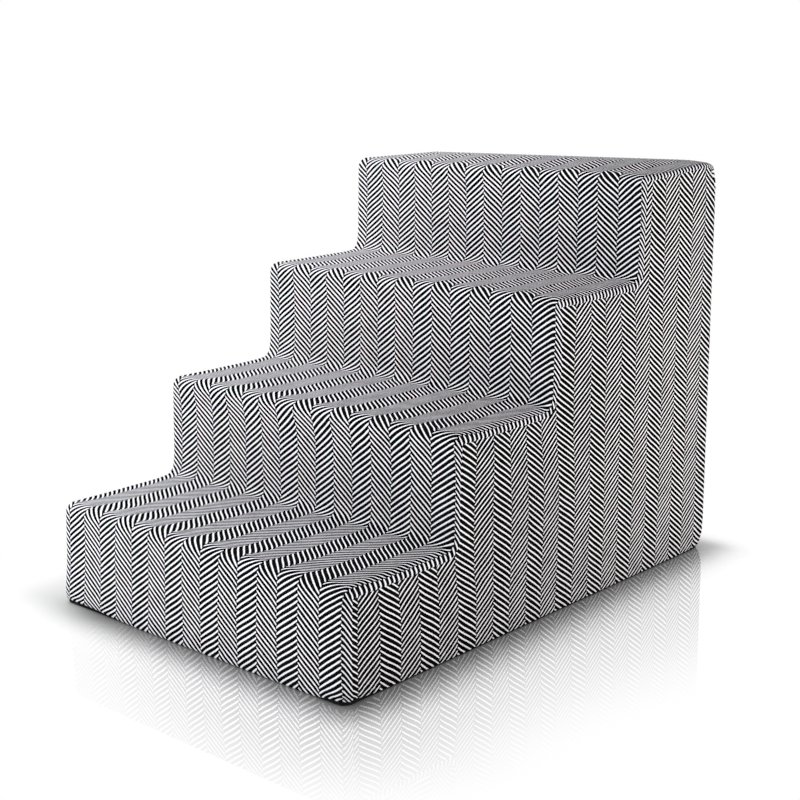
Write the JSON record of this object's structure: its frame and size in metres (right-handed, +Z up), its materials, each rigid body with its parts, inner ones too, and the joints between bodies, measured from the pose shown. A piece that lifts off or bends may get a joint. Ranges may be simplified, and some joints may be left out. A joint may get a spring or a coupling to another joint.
{
  "type": "pet stairs",
  "caption": "Stepped foam block in a zipped herringbone cloth cover, which a small dog or cat climbs to reach a bed or sofa.",
  "frame": {"origin": "on the floor, at the middle of the base", "axes": "+Z up, +Y from the lowest step towards the tall back, +X to the right of someone who faces the steps"},
  "size_m": [0.424, 0.6292, 0.456],
  "materials": {
    "foam": "matte",
    "cover_cloth": "matte",
    "base_cloth": "matte",
    "zip_tape": "matte",
    "zip_coil": "satin",
    "zip_metal": "satin",
    "slider_metal": "satin"
  },
  "bodies": {
    "stairs": {"foam_slab_1": "foam", "foam_slab_2": "foam", "foam_slab_3": "foam", "foam_slab_4": "foam", "stair_panel": "cover_cloth", "left_side_panel": "cover_cloth", "right_side_panel": "cover_cloth", "back_panel": "cover_cloth", "back_strip": "cover_cloth", "zipper_end_tab_left": "cover_cloth", "zipper_end_tab_right": "cover_cloth", "base_panel": "base_cloth", "zipper_tape_upper": "zip_tape", "zipper_tape_lower": "zip_tape", "zipper_coil_upper": "zip_coil", "zipper_coil_lower": "zip_coil", "zipper_top_stops": "zip_metal", "zipper_bottom_stop": "zip_metal"},
    "slider": {"slider_body": "slider_metal"},
    "pull": {"pull_tab": "slider_metal"}
  },
  "joints": [
    {"name": "slider_travel", "type": "slide", "parent": "stairs", "child": "slider", "axis": [-1, 0, 0], "range_m": [0, 0.35], "deforming": ["zipper_coil_upper", "zipper_coil_lower"]},
    {"name": "pull_flip", "type": "hinge", "parent": "slider", "child": "pull", "pos_m": [0.1752, 0.3152, 0.04], "axis": [0, 0, -1], "range_deg": [0, 180]}
  ]
}
